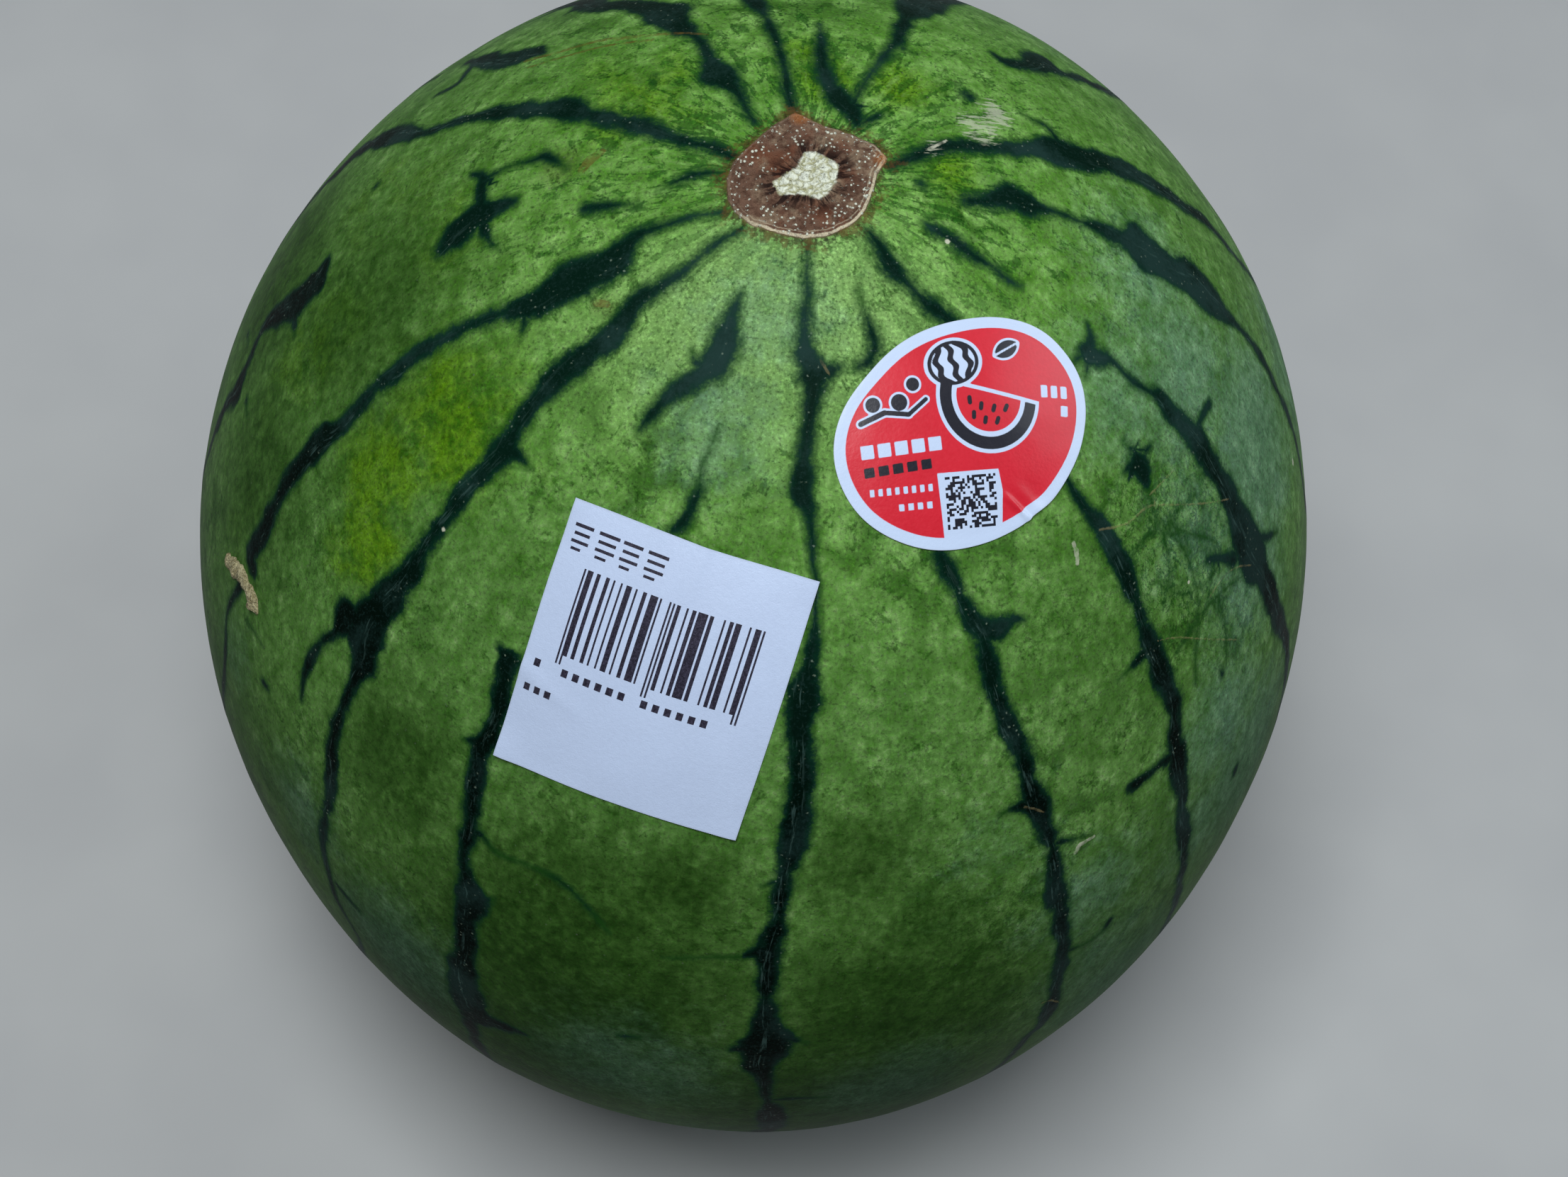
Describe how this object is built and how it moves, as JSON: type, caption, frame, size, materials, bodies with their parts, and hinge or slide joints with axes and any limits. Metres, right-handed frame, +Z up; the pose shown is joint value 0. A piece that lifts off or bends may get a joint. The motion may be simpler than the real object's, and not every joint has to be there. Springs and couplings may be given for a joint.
{
  "type": "small watermelon",
  "caption": "Small striped kodama-type watermelon standing on its end, with a corky scar on top, a paper price label and an oval paper label.",
  "frame": {"origin": "centre of the footprint box, on the floor plane, at the middle of the flat spot the fruit rests on", "axes": "+Z up through the corky scar; -Y faces the viewer, on the side of the square label's lower edge; +X to the viewer's right"},
  "size_m": [0.1682, 0.1702, 0.1867],
  "materials": {
    "rind": null,
    "white_paper": "matt white label paper",
    "red_paper": "coated red label paper with a white border"
  },
  "bodies": {
    "root": {"melon": "rind", "barcode_label": "white_paper", "oval_label": "red_paper"}
  },
  "joints": []
}
